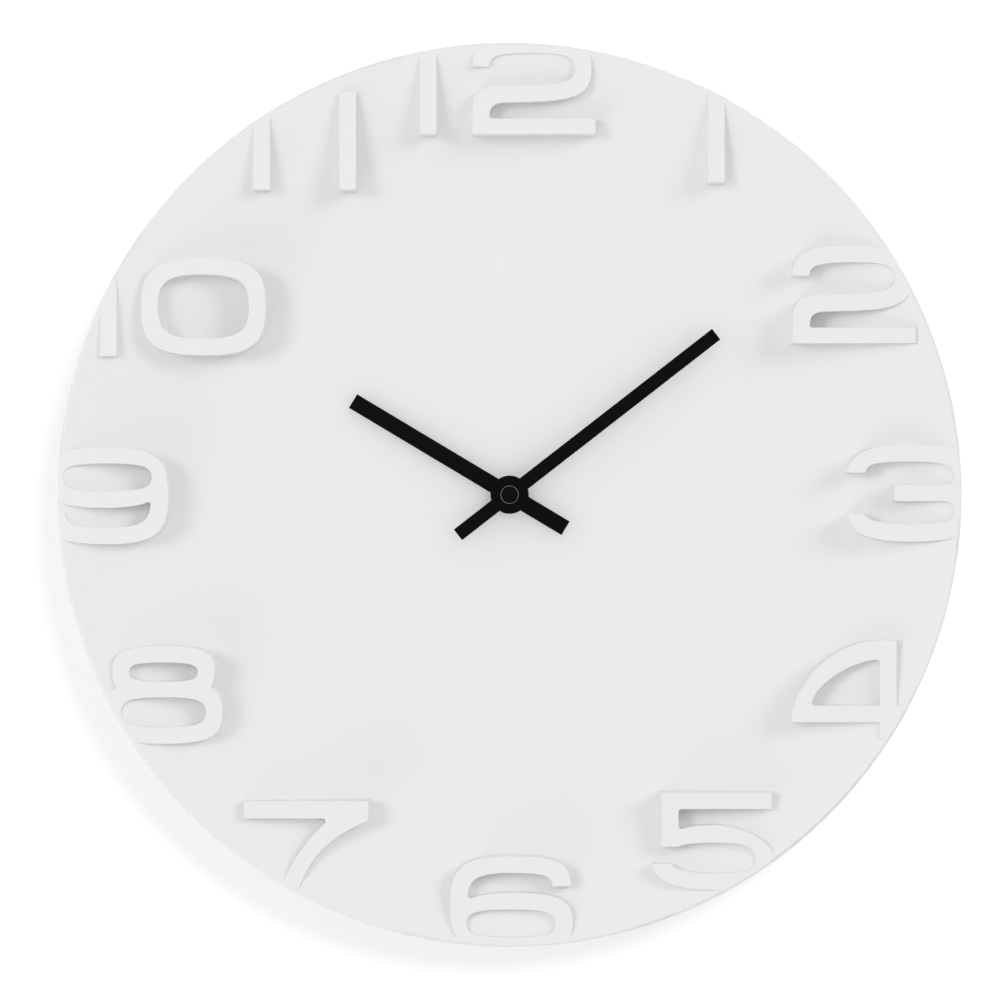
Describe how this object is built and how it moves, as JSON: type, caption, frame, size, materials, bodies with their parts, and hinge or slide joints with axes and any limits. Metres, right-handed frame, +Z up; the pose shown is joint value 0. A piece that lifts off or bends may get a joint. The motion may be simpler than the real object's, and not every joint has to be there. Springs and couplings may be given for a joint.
{
  "type": "wall clock",
  "caption": "Round white wall clock: dished disc with big raised numbers cut by its rim, black baton hands and a quartz movement in a back pocket.",
  "frame": {"origin": "where the hands' axis meets the wall plane, on the back of the disc", "axes": "+Z up to twelve o'clock, +Y into the wall, so the dial faces -Y; +X towards three o'clock"},
  "size_m": [0.4, 0.0335, 0.4],
  "materials": {
    "white_lacquer": "satin white lacquer on milled fibreboard",
    "black_paint": "satin black paint",
    "brass": "turned",
    "rubber": "matt",
    "case_plastic": "fine spark texture",
    "gear_plastic": "natural acetal",
    "steel": "plain",
    "magnet": "sintered",
    "copper": "enamelled wire",
    "board": "brown laminate",
    "chip": "moulded",
    "crystal_can": "plated",
    "cell": "plain film wrap with bare metal ends",
    "nickel": "nickel plated",
    "zinc": "zinc plated"
  },
  "bodies": {
    "clock_body": {"dial_disc": "white_lacquer", "threaded_bush": "brass", "rubber_gasket": "rubber", "dial_washer": "brass", "dial_nut": "brass", "front_case": "case_plastic", "rear_cover": "case_plastic", "gear_plate": "gear_plastic", "stator": "steel", "coil_core": "steel", "coil_bobbin": "gear_plastic", "coil_winding": "copper", "circuit_board": "board", "driver_chip": "chip", "quartz_crystal": "crystal_can", "positive_contact": "nickel", "negative_contact": "nickel", "hanger_plate": "zinc", "hanger_screws": "zinc"},
    "minute_group": {"minute_arbor": "brass", "clutch_washer": "steel", "minute_hand": "black_paint", "hand_cap": "black_paint"},
    "hour_group": {"hour_wheel": "gear_plastic", "hour_hand": "black_paint"},
    "intermediate": {"intermediate_wheel": "gear_plastic"},
    "knob": {"setting_knob": "case_plastic"},
    "fourth": {"fourth_wheel": "gear_plastic"},
    "rotor": {"rotor_pinion": "gear_plastic", "rotor_magnet": "magnet"},
    "fifth": {"fifth_wheel": "gear_plastic"},
    "third": {"third_wheel": "gear_plastic"},
    "centre": {"centre_wheel": "gear_plastic"},
    "cell": {"battery": "cell"}
  },
  "joints": [
    {"name": "minute_spin", "type": "hinge", "parent": "clock_body", "child": "minute_group", "pos_m": [0, -0.02, 0], "axis": [0, 1, 0], "continuous": true},
    {"name": "hour_spin", "type": "hinge", "parent": "clock_body", "child": "hour_group", "pos_m": [0, -0.02, 0], "axis": [0, 1, 0], "continuous": true},
    {"name": "intermediate_spin", "type": "hinge", "parent": "clock_body", "child": "intermediate", "pos_m": [0.0084, -0.014, 0], "axis": [0, 1, 0], "continuous": true},
    {"name": "knob_spin", "type": "hinge", "parent": "clock_body", "child": "knob", "pos_m": [0.0168, -0.008, 0], "axis": [0, 1, 0], "continuous": true},
    {"name": "fourth_spin", "type": "hinge", "parent": "clock_body", "child": "fourth", "pos_m": [0, -0.007, 0], "axis": [0, 1, 0], "continuous": true},
    {"name": "rotor_spin", "type": "hinge", "parent": "clock_body", "child": "rotor", "pos_m": [-0.01244, -0.007, 0.01195], "axis": [0, 1, 0], "continuous": true},
    {"name": "fifth_spin", "type": "hinge", "parent": "clock_body", "child": "fifth", "pos_m": [-0.0094, -0.007, 0.00543], "axis": [0, 1, 0], "continuous": true},
    {"name": "third_spin", "type": "hinge", "parent": "clock_body", "child": "third", "pos_m": [0.0054, -0.007, 0.00935], "axis": [0, 1, 0], "continuous": true},
    {"name": "centre_spin", "type": "hinge", "parent": "clock_body", "child": "centre", "pos_m": [0, -0.011, 0], "axis": [0, 1, 0], "continuous": true},
    {"name": "battery_slide", "type": "slide", "parent": "clock_body", "child": "cell", "axis": [0, 1, 0], "range_m": [0, 0.018]}
  ],
  "couplings": [
    {"joint": "hour_spin", "follows": "minute_spin", "ratio": 0.083333},
    {"joint": "intermediate_spin", "follows": "minute_spin", "ratio": -0.33333},
    {"joint": "knob_spin", "follows": "minute_spin", "ratio": 1},
    {"joint": "rotor_spin", "follows": "fourth_spin", "ratio": 30},
    {"joint": "fifth_spin", "follows": "fourth_spin", "ratio": -6},
    {"joint": "third_spin", "follows": "fourth_spin", "ratio": -0.13333},
    {"joint": "centre_spin", "follows": "fourth_spin", "ratio": 0.016667}
  ]
}
